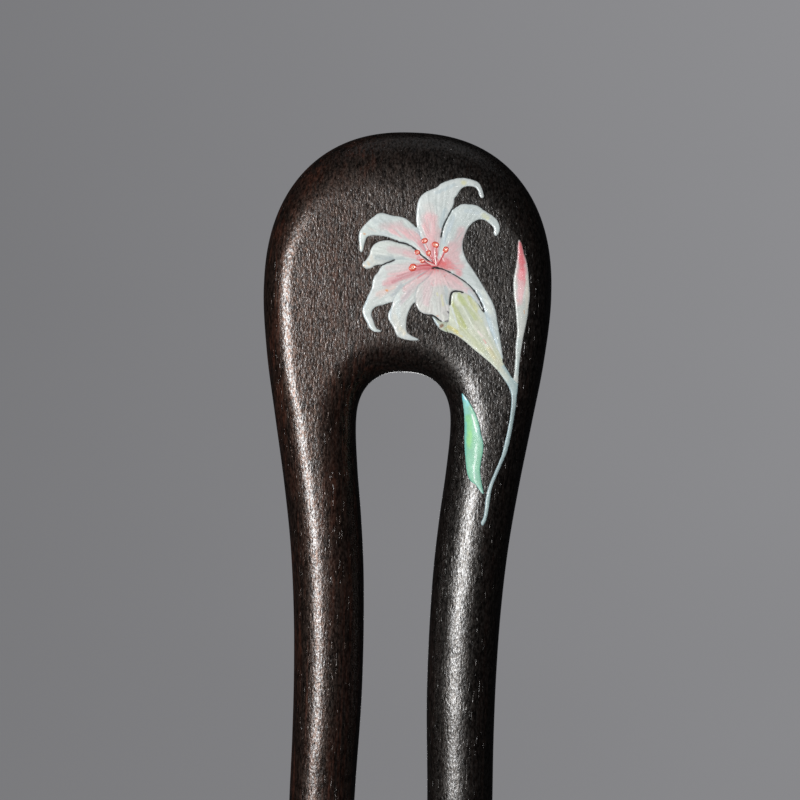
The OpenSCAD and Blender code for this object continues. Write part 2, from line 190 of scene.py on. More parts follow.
def handWobble(points):  # slow unevenness left by shaping the wood by hand
    bent = []
    for x, y, z in points:
        lift = noise.noise(Vector((x / 7, y / 9 + 4, z / 11))) * bodyShape["handWobble"]
        bent.append((x, y * (1 - abs(lift)), z))
    return bent


def makeBlank(name):
    stations = rightHalf()
    rings = [ringOf(st, -1) for st in stations[:0:-1]] + [ringOf(st, 1) for st in stations]
    count = len(rings[0])
    verts = [p for ring in rings for p in ring]
    faces = []
    for i in range(len(rings) - 1):
        for j in range(count):
            k = (j + 1) % count
            faces.append((i * count + j, i * count + k, (i + 1) * count + k, (i + 1) * count + j))
    last = (len(rings) - 1) * count
    faces.append(tuple(range(count - 1, -1, -1)))
    faces.append(tuple(last + j for j in range(count)))
    return meshObject(name, handWobble(verts), faces)


forkBody = makeBlank("fork_of_dark_wood")
print("wooden blank:", len(forkBody.data.polygons), "faces")
blankTree = BVHTree.FromObject(forkBody, bpy.context.evaluated_depsgraph_get())


def surfaceY(x, z):  # height of the uncut wooden front at a place, in millimetres
    hit = blankTree.ray_cast(Vector((x * mm, -0.02, z * mm)), Vector((0, 1, 0)))[0]
    return hit.y / mm if hit else -headThickness / 2


class Nodes:  # a short way to write a material's nodes
    def __init__(self, name):
        self.material = bpy.data.materials.new(name)
        self.material.use_nodes = True
        self.tree = self.material.node_tree
        self.shader = self.tree.nodes["Principled BSDF"]

    def add(self, kind, **values):
        node = self.tree.nodes.new(kind)
        for key, value in values.items():
            if hasattr(node, key):
                setattr(node, key, value)
            else:
                node.inputs[key.replace("_", " ")].default_value = value
        return node

    def link(self, out, into):
        self.tree.links.new(out, into)

    def space(self, scale):  # object coordinates, in repeats per millimetre
        if not hasattr(self, "coordinates"):
            self.coordinates = self.add("ShaderNodeTexCoord")
        mapping = self.add("ShaderNodeMapping")
        mapping.inputs["Scale"].default_value = tuple(v / mm for v in scale)
        self.link(self.coordinates.outputs["Object"], mapping.inputs["Vector"])
        return mapping.outputs[0]

    def noise(self, scale, detail=3, roughness=0.5, distortion=0.0, offset=0.0):
        node = self.add("ShaderNodeTexNoise")
        node.noise_dimensions = "4D"
        node.inputs["W"].default_value = offset
        node.inputs["Scale"].default_value = 1
        node.inputs["Detail"].default_value = detail
        node.inputs["Roughness"].default_value = roughness
        node.inputs["Distortion"].default_value = distortion
        self.link(self.space(scale), node.inputs["Vector"])
        return node.outputs["Fac"]

    def remap(self, value, low, high, toLow=0.0, toHigh=1.0, smooth=True):
        node = self.add("ShaderNodeMapRange")
        node.interpolation_type = "SMOOTHSTEP" if smooth else "LINEAR"
        for key, number in (("From Min", low), ("From Max", high), ("To Min", toLow), ("To Max", toHigh)):
            node.inputs[key].default_value = number
        self.link(value, node.inputs["Value"])
        return node.outputs[0]

    def math(self, how, a, b):
        node = self.add("ShaderNodeMath", operation=how)
        for socket, value in zip(node.inputs, (a, b)):
            if isinstance(value, (int, float)):
                socket.default_value = value
            else:
                self.link(value, socket)
        return node.outputs[0]

    def blend(self, share, a, b, how="MIX"):
        node = self.add("ShaderNodeMix", data_type="RGBA", blend_type=how)
        for socket, value in ((node.inputs[0], share), (node.inputs[6], a), (node.inputs[7], b)):
            if isinstance(value, (int, float)):
                socket.default_value = value
            elif isinstance(value, tuple):
                socket.default_value = (*value, 1)
            else:
                self.link(value, socket)
        return node.outputs[2]

    def bump(self, height, distance, normal=None):
        node = self.add("ShaderNodeBump")
        node.inputs["Strength"].default_value = 1.0
        node.inputs["Distance"].default_value = distance * mm
        self.link(height, node.inputs["Height"])
        if normal:
            self.link(normal, node.inputs["Normal"])
        return node.outputs[0]

    def finishWith(self, **sockets):
        for key, value in sockets.items():
            socket = self.shader.inputs[key.replace("_", " ")]
            if isinstance(value, (int, float)):
                socket.default_value = value
            elif isinstance(value, tuple):
                socket.default_value = (*value, 1)
            else:
                self.link(value, socket)
        return self.material


woodFinish = {
    "black": (0.0028, 0.0022, 0.0020), "brown": (0.0068, 0.0041, 0.0032), "red": (0.034, 0.0115, 0.0070),
    # the two sheen tints are blended by side as painted light: a warmer, stronger sheen on the lit left, a
    # weaker one on the shaded right
    "pore": (0.0025, 0.0020, 0.0020), "shadedRightSheen": (0.73, 0.67, 0.61), "litLeftSheen": (1.0, 0.61, 0.45),
    "roughness": (0.30, 0.56), "waxRoughness": 0.26,
    "fibreDepth": 0.03, "speckDepth": 0.03, "poreDepth": 0.02,
}


def darkWood():  # ebony with short upright fibres; browner and redder towards the left edge, partly its own streaks and partly painted light: the lamp's glow on the left side is painted into the colour and into a warmer, stronger sheen there, with a weaker painted sheen on the shaded right
    n = Nodes("dark_wood")
    w = woodFinish
    place = n.add("ShaderNodeSeparateXYZ")
    n.link(n.space((1, 1, 1)), place.inputs[0])
    # painted light: 1 at the lit left edge, 0 from the middle rightwards; it adds brown, red and a warmer,
    # brighter sheen where the lamp falls
    litLeftShare = n.remap(place.outputs["X"], 6, -14, smooth=False)
    bands = n.noise((0.5, 0.5, 0.02), detail=4, roughness=0.6, distortion=0.4)
    streaks = n.noise((1.5, 1.5, 0.06), detail=5, roughness=0.65, distortion=0.25, offset=3)
    clouds = n.noise((0.2, 0.2, 0.1), detail=3, offset=21)
    fibres = n.noise((3.7, 3.7, 1.0), detail=3, roughness=0.7, distortion=0.3, offset=7)
    specks = n.noise((4.2, 4.2, 2.6), detail=1, roughness=0.5, distortion=0.4, offset=11)
    pores = n.noise((4.2, 4.2, 0.5), detail=2, roughness=0.5, distortion=0.2, offset=15)
    brownShare = n.math("MULTIPLY", n.remap(bands, 0.36, 0.6), n.remap(litLeftShare, 0, 1, 0.15, 1.0))
    redShare = n.math("MULTIPLY", n.remap(streaks, 0.44, 0.64), n.remap(litLeftShare, 0.15, 1, 0.06, 0.8))
    redShare = n.math("MULTIPLY", redShare, n.remap(clouds, 0.36, 0.6, 0.25, 1.0))
    colour = n.blend(brownShare, w["black"], w["brown"])
    colour = n.blend(redShare, colour, w["red"])
    shade = n.blend(n.remap(fibres, 0.34, 0.66), (0.3, 0.3, 0.3), (1.6, 1.6, 1.6))
    colour = n.blend(1.0, colour, shade, how="MULTIPLY")
    openPores = n.remap(pores, 0.3, 0.37)
    colour = n.blend(openPores, w["pore"], colour)
    roughness = n.remap(specks, 0.36, 0.64, *w["roughness"])
    grain = n.bump(fibres, w["fibreDepth"])
    grain = n.bump(specks, w["speckDepth"], normal=grain)
    grain = n.bump(openPores, w["poreDepth"], normal=grain)
    sheen = n.remap(specks, 0.38, 0.6, 0.2, 1.0)
    gleam = n.remap(fibres, 0.38, 0.6, 0.1, 0.44)
    # painted sheen: reflection tinted warmer and stronger on the lit left, weaker on the shaded right
    sideLitSheenTint = n.blend(litLeftShare, w["shadedRightSheen"], w["litLeftSheen"])
    return n.finishWith(Base_Color=colour, Roughness=roughness, Normal=grain, Specular_IOR_Level=gleam,
                        Specular_Tint=sideLitSheenTint, Coat_Weight=sheen, Coat_Roughness=w["waxRoughness"],
                        Coat_Normal=grain)


woodMaterial = darkWood()
forkBody.data.materials.append(woodMaterial)
shadeSmooth(forkBody)
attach(forkBody, "root")
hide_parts("fork_body")


# The inlay. Places on it are [x, z] in millimetres, with z counted from the throat's height.
inlayFit = {
    "grow": 0.092, "step": 0.1, "grid": 0.085, "rings": (0.05, 0.11, 0.18, 0.27), "rag": 0.04,
    "proud": 0.15, "edgeLift": 0.02, "joinLift": 0.15, "roll": 0.24, "crown": 0.05, "brush": 0.012,
    "thickness": 0.85, "film": 0.15, "sink": 0.05, "closes": 0.3, "closesAtThroat": 0.45, "depth": 0.76,
}
throatMiddle = np.array([2.0, -0.5])
darkLines = [  # black lines that stay open between two pieces: how open, then the points along each
    [1.0, [-1.5, 3.1], [-0.3, 2.95], [0.5, 2.45], [0.9, 2.25]],
    [0.75, [0.9, 2.25], [1.5, 1.5], [2.1, 1.15], [2.8, 0.55]],
    [0.9, [-4.1, 0.05], [-2.9, 0.4], [-1.9, 0.75]],
    [0.85, [4.0, 4.0], [4.3, 5.2], [4.7, 6.2], [5.3, 7.3]],
    [0.75, [3.7, -0.05], [4.5, -0.2], [5.2, -0.5]],
    [0.6, [5.6, -0.8], [6.6, -1.2], [7.2, -1.7], [8.2, -2.7]],
    [0.9, [8.2, -2.7], [8.9, -3.9]],
    [0.9, [9.1, -4.2], [9.5, -5.0]],
    [1.0, [5.3, -4.3], [5.35, -3.4], [5.6, -2.85], [6.1, -2.8], [6.7, -2.9]],
    [0.9, [3.1, -5.8], [3.5, -6.0], [4.1, -6.5]],
]


def segmentDistance(points, a, b):
    a, b = np.asarray(a, float), np.asarray(b, float)
    along = b - a
    t = np.clip(((points - a) @ along) / max(along @ along, 1e-9), 0, 1)
    return np.linalg.norm(points - a - t[:, None] * along, axis=1), t


def lineDistance(points, line):
    return np.min([segmentDistance(points, a, b)[0] for a, b in zip(line, line[1:])], axis=0)


def smooth(x, low, high):
    t = np.clip((x - low) / (high - low), 0, 1)
    return t * t * (3 - 2 * t)


def noiseAt(points, scale, seed, octaves=2):
    sx, sz = scale
    return np.array([noise.fractal(Vector((p[0] * sx, p[1] * sz, seed)), 1.0, 2.0, octaves) for p in points])


def darkness(points):  # 1 on an open black line, 0 away from all of them
    worn = smooth(noiseAt(points, (2.6, 2.6), 91), -0.75, -0.1)
    opened = [line[0] * (1 - smooth(lineDistance(points, line[1:]), 0.12, 0.38)) for line in darkLines]
    return np.max(opened, axis=0) * (0.35 + 0.65 * worn)


def toOthers(points, node):  # how far the nearest other piece is
    return np.min([edgeDistance(points, loops[0]) for key, loops in cadLoops.items() if key != node], axis=0)


def backLoops(node):  # closed outlines of the faces of a CAD node that look backwards
    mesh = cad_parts[node].data
    ids, points, edges = {}, [], set()
    for face in mesh.polygons:
        if face.normal.y > 0.2:
            corners = []
            for i in face.vertices:
                key = tuple(round(c / mm, 3) for c in mesh.vertices[i].co)
                if key not in ids:
                    ids[key] = len(points)
                    points.append(key)
                corners.append(ids[key])
            edges.update((a, b) for a, b in zip(corners, corners[1:] + corners[:1]) if a != b)
    after = {}
    for a, b in sorted(edges):
        if (b, a) not in edges:
            after.setdefault(a, []).append(b)
    loops = []
    while after:
        here, loop = min(after), []
        while here in after:
            loop.append((points[here][0], points[here][2] - throatZ))
            there = after[here].pop()
            if not after[here]:
                del after[here]
            here = there
        loops.append(np.array(loop))
    return loops


def evenLoop(loop, step):  # extra points along the long edges of an outline, turned to run anticlockwise
    x, z = loop[:, 0], loop[:, 1]
    if (x * np.roll(z, -1) - z * np.roll(x, -1)).sum() < 0:
        loop = loop[::-1]
    points = []
    for a, b in zip(loop, np.roll(loop, -1, axis=0)):
        parts = max(1, math.ceil(np.linalg.norm(b - a) / step))
        points += [a + (b - a) * k / parts for k in range(parts)]
    return np.array(points)


def outwards(loop):
    run = np.roll(loop, -1, axis=0) - np.roll(loop, 1, axis=0)
    run /= np.maximum(np.linalg.norm(run, axis=1), 1e-9)[:, None]
    return np.stack([run[:, 1], -run[:, 0]], axis=1)


def pieceOutline(node, seed):  # the CAD outline, filled out to its neighbours except along the black lines
    f = inlayFit
    loop = evenLoop(cadLoops[node][0], f["step"])
    gap = toOthers(loop, node)
    atThroat = 1 - smooth(np.linalg.norm(loop - throatMiddle, axis=1), 1.3, 1.9)
    widest = f["closes"] + (f["closesAtThroat"] - f["closes"]) * atThroat
    apart = smooth(gap, widest - 0.04, widest + 0.06)
    grow = f["grow"] + (np.minimum(gap, widest) / 2 - f["grow"]) * (1 - apart)
    grow *= 1 - darkness(loop)
    rag = noiseAt(loop, (2.2, 2.2), seed) * f["rag"] + noiseAt(loop, (5, 5), seed + 8) * f["rag"] * 0.5
    return loop + outwards(loop) * (grow + np.minimum(rag, f["grow"] - grow) * apart)[:, None]


def insideOf(points, loop):
    x, z = points[:, 0], points[:, 1]
    inside = np.zeros(len(points), bool)
    for a, b in zip(loop, np.roll(loop, -1, axis=0)):
        if a[1] != b[1]:
            crosses = (a[1] > z) != (b[1] > z)
            inside ^= crosses & (x < (b[0] - a[0]) * (z - a[1]) / (b[1] - a[1]) + a[0])
    return inside


def edgeDistance(points, loop):
    return lineDistance(points, np.concatenate([loop, loop[:1]]))


def fillOutline(loop):  # triangles over an outline, finer towards its edge
    f = inlayFit
    grid = f["grid"]
    low, high = loop.min(0), loop.max(0)
    rows = int((high[1] - low[1]) / (grid * 0.866)) + 1
    columns = int((high[0] - low[0]) / grid) + 1
    inner = np.array([(low[0] + (i + 0.5 * (j % 2)) * grid, low[1] + j * grid * 0.866)
                      for j in range(rows) for i in range(columns)])
    inner = inner[insideOf(inner, loop)]
    inner = inner[edgeDistance(inner, loop) > f["rings"][-1] + grid * 0.5]
    points = [loop]
    for inset in f["rings"]:
        ring = loop - outwards(loop) * inset
        ring = ring[insideOf(ring, loop)]
        points.append(ring[edgeDistance(ring, loop) > inset * 0.9])
    points = np.concatenate(points + [inner])
    count = len(loop)
    edges = [(i, (i + 1) % count) for i in range(count)]
    made = delaunay_2d_cdt([Vector(p) for p in points], edges, [list(range(count))], 1, 1e-5)
    places = np.array([tuple(v) for v in made[0]])
    return places, [tuple(face) for face in made[2]]


def borderEdges(faces):
    edges = {(a, b) for face in faces for a, b in zip(face, face[1:] + face[:1])}
    return sorted((a, b) for a, b in edges if (b, a) not in edges)


def slab(name, places, faces, top, bottom):  # closed solid between two heights over the same triangles
    count = len(places)
    verts = [(p[0], y, p[1] + throatZ) for p, y in zip(places, top)]
    verts += [(p[0], y, p[1] + throatZ) for p, y in zip(places, bottom)]
    allFaces = list(faces) + [tuple(i + count for i in face[::-1]) for face in faces]
    allFaces += [(b, a, a + count, b + count) for a, b in borderEdges(faces)]
    return meshObject(name, verts, allFaces)


def woodAt(places):
    return np.array([surfaceY(x, z + throatZ) for x, z in places])


def toLinear(colour):
    c = np.asarray(colour, float) / 255
    return np.where(c <= 0.04045, c / 12.92, ((c + 0.055) / 1.055) ** 2.4)


def paintVerts(piece, colours):
    layer = piece.data.color_attributes.new("dyeAndPaintedLight", "FLOAT_COLOR", "POINT")
    values = np.ones((len(colours), 4), np.float32)
    values[:, :3] = toLinear(np.clip(np.array(colours, float), 12, 246))
    layer.data.foreach_set("color", values.ravel())


def flowNoise(places, centre, seed):  # brush streaks that run away from a place
    away = places - np.asarray(centre)
    reach = np.linalg.norm(away, axis=1)
    turn = np.arctan2(away[:, 1], away[:, 0])
    fine = noiseAt(np.stack([turn * 26, reach * 0.55], axis=1), (1, 1), seed, 3)
    broad = noiseAt(np.stack([turn * 9, reach * 0.3], axis=1), (1, 1), seed + 9, 2)
    return fine, broad


def paintPiece(piece, places, look, seed, edge, joined):  # the dyed colours, stroke by stroke, with painted highlights among the strokes of some pieces and a faint painted shade along seams where pieces meet
    fine, broad = flowNoise(places, look["flow"], seed)
    blot = noiseAt(places, (1.1, 1.1), seed + 3, 3)
    colour = np.tile(np.array(look["base"], float), (len(places), 1))
    colour += (broad * 9 + blot * 9)[:, None] * [1.0, 0.8, 0.8]
    for x1, z1, x2, z2, width, tone, strength in look["strokes"]:
        ragged = places + np.stack([blot, fine], axis=1) * min(0.22, width * 0.3)
        away = segmentDistance(ragged, (x1, z1), (x2, z2))[0]
        cover = (1 - smooth(away, width * 0.25, width)) * strength
        cover = np.clip(cover * np.clip(1 + fine * 0.8, 0, 1.35), 0, 1)[:, None]
        colour += (np.array(tone, float) - colour) * cover
    colour += (fine * 10 + noiseAt(places, (5, 5), seed + 5, 2) * 8)[:, None]
    rim = (1 - smooth(edge, 0.05, 0.2)) * 0.5 * look.get("rim", 1) * (1 - joined)
    colour += (np.array(look.get("rimTone", (205, 214, 216)), float) - colour) * rim[:, None]
    # painted shade: a faint darker line where two pieces meet, standing in for the shade in the seam between
    # them
    seamShade = (joined * (1 - smooth(edge, 0.03, 0.16)))[:, None]
    colour -= seamShade * np.array([20, 16, 13]) * look.get("seamShade", 1)
    paintVerts(piece, np.concatenate([colour, colour]))  # the front and the back alike


# a shell finish over the vertex colours, which hold the dye together with painted highlights and painted
# seam shade
def dyedShell(name, roughness=0.34, gloss=0.35, relief=0.006, mottle=0.06):
    n = Nodes(name)
    dyeAndPaintedLight = n.add("ShaderNodeVertexColor", layer_name="dyeAndPaintedLight")
    grain = n.noise((3.2, 3.2, 3.2), detail=4, roughness=0.6)
    specks = n.noise((9, 9, 9), detail=2, offset=5)
    dark, light = (inlayFit["depth"] * (1 + mottle * share) for share in (-1, 0.4))
    tone = n.blend(n.remap(grain, 0.3, 0.7), (dark,) * 3, (light,) * 3)
    colour = n.blend(1.0, dyeAndPaintedLight.outputs["Color"], tone, how="MULTIPLY")
    bump = n.bump(grain, relief * 2)
    bump = n.bump(n.remap(specks, 0.3, 0.42), relief * 1.5, normal=bump)
    rough = n.remap(specks, 0.35, 0.65, roughness - 0.08, roughness + 0.1)
    return n.finishWith(Base_Color=colour, Roughness=rough, Normal=bump, Coat_Weight=gloss,
                        Coat_Roughness=0.12, Coat_Normal=bump)


def makeInlay(node, look, seed):
    f = inlayFit
    loop = pieceOutline(node, seed)
    outlines[node] = loop
    places, faces = fillOutline(loop)
    edge = edgeDistance(places, loop)
    wood = woodAt(places)
    fine, broad = flowNoise(places, look["flow"], seed)
    raised = 1 - np.clip(edge / f["roll"], 0, 1)
    joined = (1 - smooth(toOthers(places, node) - edge, 0.14, 0.32)) * (1 - darkness(places))
    low = f["edgeLift"] + (f["joinLift"] - f["edgeLift"]) * joined
    lift = low + (f["proud"] - low) * np.sqrt(1 - raised ** 2)
    lift += f["crown"] * look.get("dome", 1) * (1 - np.exp(-edge / 0.9))
    lift += f["brush"] * (fine + broad) * smooth(edge, 0.05, 0.3)
    piece = slab(look["name"], places, faces, wood - lift, wood + f["thickness"])
    paintPiece(piece, places, look, seed, edge, joined)
    piece.data.materials.append(dyedShell(look["name"] + "_finish", **look.get("finish", {})))
    shadeSmooth(piece, 55)
    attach(piece, "root")
    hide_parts(node)
    return piece


# Each stroke is x, z to x, z, its half width, its colour and how fully it covers.
throatStrokes = [
    [2.6, 0.1, 4.6, 0.5, 1.25, (222, 132, 136), 0.85],
    [3.0, 0.3, 4.1, 0.4, 0.75, (220, 98, 100), 0.95],
    [3.4, 0.5, 2.4, 1.8, 0.22, (205, 84, 88), 0.8],
    [3.5, 0.5, 3.3, 2.6, 0.2, (208, 88, 92), 0.8],
    [3.8, 0.4, 4.5, 2.2, 0.18, (212, 96, 100), 0.8],
    [3.6, 0.2, 5.4, 0.0, 0.3, (215, 118, 120), 0.8],
    [3.2, 0.2, 1.4, 0.9, 0.16, (204, 88, 92), 0.8],
    [3.0, 0.1, 0.9, -0.3, 0.3, (208, 108, 114), 0.85],
    [3.3, 1.6, 3.9, 0.9, 0.1, (244, 214, 214), 0.8],
    [4.0, 1.5, 4.4, 0.9, 0.09, (246, 226, 226), 0.8],
    [2.4, 1.1, 2.9, 0.7, 0.09, (244, 214, 214), 0.7],
]
petalFlow = (3.5, 0.4)  # where the brush streaks of a petal start, unless its look says another place
inlayLooks = {
    "petal_top": {"base": (206, 213, 211), "strokes": [
        [1.3, 8.0, 4.6, 10.2, 0.9, (214, 221, 219), 0.8],
        [2.3, 7.4, 2.9, 5.0, 1.0, (214, 212, 209), 0.8],
        [2.4, 6.0, 3.1, 1.6, 1.35, (226, 188, 190), 0.95],
        [2.0, 5.2, 2.8, 3.0, 0.6, (229, 182, 184), 0.7],
        [3.7, 4.9, 3.2, 2.6, 0.5, (204, 182, 182), 0.6],
        [3.1, 2.8, 3.4, 0.8, 0.75, (221, 140, 146), 0.85],
        [4.3, 7.2, 3.9, 5.2, 0.45, (184, 199, 203), 0.75],
        [0.95, 4.5, 1.7, 3.0, 0.3, (178, 194, 199), 0.8],
        [3.2, 9.3, 5.4, 10.4, 0.35, (188, 202, 206), 0.6],
        [5.6, 10.6, 7.2, 10.75, 0.3, (214, 222, 220), 0.7],
        [6.4, 10.7, 6.6, 10.7, 0.4, (214, 214, 178), 0.7],
        [8.0, 10.4, 8.9, 9.2, 0.35, (190, 198, 198), 0.8],
        [0.95, 7.6, 0.95, 5.2, 0.16, (230, 234, 232), 0.7],
    ]},
    "petal_right": {"base": (200, 209, 207), "strokes": [
        [5.5, 6.6, 9.0, 7.2, 0.8, (206, 215, 213), 0.8],
        [5.3, 6.3, 4.2, 3.2, 0.45, (184, 198, 204), 0.8],
        [6.4, 4.6, 5.6, 1.4, 1.0, (207, 186, 187), 0.9],
        [5.3, 2.8, 4.5, 0.8, 0.85, (214, 180, 182), 0.9],
        [5.6, 1.6, 6.4, 0.3, 0.9, (214, 180, 182), 0.8],
        [4.7, 0.9, 6.4, -0.6, 0.55, (216, 146, 150), 0.85],
        [6.9, 7.2, 8.4, 7.0, 0.4, (188, 201, 206), 0.6],
        [9.1, 6.7, 9.6, 6.4, 0.45, (208, 212, 178), 0.7],
        [10.2, 6.2, 11.0, 5.0, 0.35, (190, 201, 200), 0.8],
        [7.0, -0.4, 8.6, -2.3, 0.8, (196, 204, 203), 0.8],
        [8.9, -3.2, 11.2, -8.8, 0.5, (180, 197, 203), 0.75],
        [9.3, -2.8, 10.3, -5.2, 0.5, (212, 219, 211), 0.75],
        [10.9, -6.2, 11.7, -9.4, 0.35, (192, 203, 200), 0.8],
        [7.4, 0.7, 9.2, -2.0, 0.18, (222, 228, 226), 0.7],
    ]},
    "petal_upper_left": {"base": (206, 215, 212), "strokes": [
        [-4.9, 5.2, -5.8, 3.4, 0.6, (210, 221, 217), 0.8],
        [-4.2, 5.6, -2.4, 5.9, 0.6, (196, 206, 206), 0.7],
        [-3.3, 4.9, -1.2, 5.2, 0.75, (206, 192, 192), 0.8],
        [-2.0, 4.6, 1.2, 3.7, 0.95, (225, 186, 188), 0.95],
        [-0.6, 4.3, 1.9, 2.7, 0.45, (228, 178, 181), 0.7],
        [1.4, 3.0, 2.8, 1.4, 0.6, (222, 156, 160), 0.9],
        [0.3, 5.0, 1.5, 3.9, 0.22, (190, 200, 204), 0.7],
        [-3.6, 4.1, -1.6, 3.7, 0.22, (198, 206, 208), 0.7],
        [-5.65, 3.95, -5.5, 3.9, 0.16, (226, 168, 128), 0.7],
        [-6.05, 2.3, -5.95, 2.1, 0.16, (226, 200, 168), 0.6],
        [-5.0, 4.6, -4.2, 4.3, 0.2, (236, 216, 206), 0.5],
    ]},
    "petal_mid_left": {"base": (210, 216, 211), "strokes": [
        [-4.2, 2.2, -2.0, 2.6, 0.5, (212, 219, 214), 0.8],
        [-3.9, 1.0, -2.2, 1.1, 0.6, (180, 190, 190), 0.85],
        [-2.8, 0.9, -0.6, 1.2, 0.3, (172, 184, 187), 0.6],
        [-2.2, 2.1, 0.6, 1.8, 0.7, (211, 194, 194), 0.85],
        [-0.4, 1.7, 1.8, 1.1, 0.55, (218, 182, 184), 0.9],
        [1.2, 1.1, 2.4, 0.7, 0.4, (221, 144, 148), 0.85],
        [-5.1, 0.4, -4.9, 0.2, 0.22, (226, 196, 158), 0.6],
        [-4.7, 1.2, -4.4, 0.6, 0.3, (214, 208, 196), 0.6],
        [-5.5, 0.0, -5.4, -0.1, 0.12, (212, 172, 132), 0.6],
    ]},
    "petal_lower_left": {"base": (208, 215, 212), "strokes": [
        [-3.5, -1.0, -4.2, -4.4, 0.7, (208, 212, 210), 0.7],
        [-2.6, -0.2, 1.2, 0.5, 0.5, (214, 200, 200), 0.7],
        [2.4, 0.0, -1.8, -1.4, 1.15, (227, 188, 190), 0.95],
        [1.6, -0.2, -2.6, -2.2, 0.75, (220, 170, 174), 0.75],
        [1.4, -0.5, -1.9, -1.9, 0.3, (204, 144, 150), 0.9],
        [0.4, -0.6, -1.4, -1.2, 0.16, (198, 124, 130), 0.7],
        [2.4, 0.3, 1.0, 0.0, 0.5, (216, 124, 128), 0.8],
        [-1.8, -2.6, -3.6, -3.6, 0.6, (222, 200, 194), 0.8],
        [-2.65, -2.95, -2.5, -3.0, 0.17, (224, 150, 96), 0.8],
        [-1.9, -3.6, -0.8, -2.2, 0.28, (182, 188, 192), 0.7],
        [-4.5, -2.4, -5.3, -5.2, 0.35, (188, 203, 207), 0.8],
        [-3.9, -4.2, -5.0, -5.0, 0.3, (212, 220, 216), 0.6],
        [-5.2, -6.2, -4.5, -7.6, 0.3, (192, 206, 209), 0.8],
        [-4.2, -7.9, -3.1, -8.1, 0.25, (204, 214, 212), 0.8],
        [0.2, 0.85, 1.8, 0.7, 0.14, (232, 220, 220), 0.7],
    ]},
    "petal_bottom": {"base": (208, 213, 209), "strokes": [
        [2.4, -0.8, -0.2, -2.6, 0.8, (222, 190, 191), 0.9],
        [0.9, -2.4, -0.6, -3.8, 0.6, (212, 196, 197), 0.8],
        [0.2, -3.0, -0.9, -4.6, 0.3, (196, 186, 190), 0.7],
        [-1.2, -3.8, -1.0, -6.4, 0.45, (208, 218, 217), 0.7],
        [0.6, -3.4, -0.1, -6.0, 0.3, (214, 220, 217), 0.7],
        [-1.9, -4.6, -2.1, -6.6, 0.2, (186, 201, 206), 0.8],
        [-1.4, -6.2, -0.9, -7.8, 0.5, (214, 214, 204), 0.7],
        [-0.8, -7.6, -0.3, -8.2, 0.4, (222, 219, 202), 0.8],
        [0.0, -8.6, 1.4, -8.9, 0.3, (198, 206, 206), 0.8],
        [-1.85, -4.4, -1.95, -4.45, 0.13, (52, 48, 54), 0.9],
        [2.2, -0.6, 1.2, -1.3, 0.16, (214, 136, 142), 0.6],
    ]},
    "petal_front": {"base": (206, 205, 201), "strokes": [
        [3.0, -1.2, 5.6, -1.5, 1.2, (225, 192, 193), 0.95],
        [4.4, -0.6, 6.6, -1.9, 0.5, (220, 180, 182), 0.8],
        [2.4, -1.9, 2.2, -4.4, 0.9, (216, 196, 197), 0.9],
        [1.6, -3.0, 1.7, -4.6, 0.4, (206, 204, 202), 0.7],
        [1.3, -4.6, 3.0, -5.4, 0.5, (212, 212, 206), 0.8],
        [3.3, -3.8, 3.8, -5.6, 0.6, (210, 214, 209), 0.8],
        [4.2, -3.4, 4.45, -4.6, 0.2, (214, 212, 172), 0.8],
        [3.65, -3.1, 3.75, -3.4, 0.16, (216, 214, 178), 0.8],
        [4.7, -2.4, 4.95, -4.2, 0.35, (184, 198, 201), 0.8],
        [5.2, -2.0, 7.6, -2.7, 0.5, (214, 188, 190), 0.8],
        [7.6, -2.7, 9.0, -4.6, 0.35, (192, 202, 205), 0.8],
        [4.5, -1.0, 4.7, -0.8, 0.12, (216, 130, 124), 0.7],
        [2.9, -1.9, 3.1, -2.2, 0.2, (226, 176, 178), 0.7],
        [4.3, -5.9, 4.8, -6.2, 0.35, (214, 216, 208), 0.7],
        [5.05, -5.35, 5.15, -5.5, 0.13, (40, 36, 42), 0.95],
        [5.1, -6.5, 4.8, -6.6, 0.12, (46, 42, 46), 0.9],
        [3.7, -5.9, 3.9, -6.0, 0.1, (222, 150, 110), 0.7],
        [1.05, -2.6, 1.15, -2.45, 0.1, (44, 40, 46), 0.85],
    ]},
    "petal_back_tip": {"flow": (9, -5), "base": (186, 194, 176), "strokes": [
        [3.2, -6.2, 4.0, -7.2, 0.3, (170, 190, 200), 0.8],
        [4.4, -7.1, 4.25, -7.25, 0.28, (122, 84, 56), 0.9],
        [4.9, -7.5, 5.4, -7.4, 0.4, (182, 190, 126), 0.8],
    ]},
    "trumpet": {
        "flow": (13.4, -14), "base": (203, 209, 188),
        "rimTone": (224, 231, 226), "rim": 1.3, "seamShade": 0.3,
        "strokes": [
            [5.6, -4.2, 7.3, -7.3, 0.32, (178, 186, 126), 0.9],
            [5.9, -5.2, 6.9, -7.6, 0.26, (190, 196, 140), 0.7],
            [6.3, -3.2, 8.6, -6.2, 0.45, (188, 198, 146), 0.85],
            [7.6, -3.4, 8.7, -5.2, 0.3, (194, 199, 144), 0.8],
            [8.3, -4.2, 9.3, -6.4, 0.22, (206, 208, 166), 0.7],
            [6.9, -4.7, 8.3, -7.4, 0.15, (222, 228, 214), 0.85],
            [7.4, -6.0, 8.0, -7.4, 0.2, (216, 221, 206), 0.8],
            [6.1, -3.2, 5.9, -4.0, 0.24, (216, 224, 214), 0.9],
            [5.45, -4.7, 6.4, -7.2, 0.17, (214, 222, 220), 0.85],
            [5.2, -7.3, 6.2, -7.8, 0.4, (198, 190, 116), 0.85],
            [5.9, -8.0, 6.9, -8.4, 0.2, (206, 196, 140), 0.7],
            [7.0, -7.6, 9.6, -9.9, 0.5, (196, 202, 166), 0.7],
            [8.6, -6.8, 10.4, -9.6, 0.55, (214, 215, 200), 0.85],
            [9.2, -5.2, 11.3, -9.4, 0.6, (204, 212, 208), 0.9],
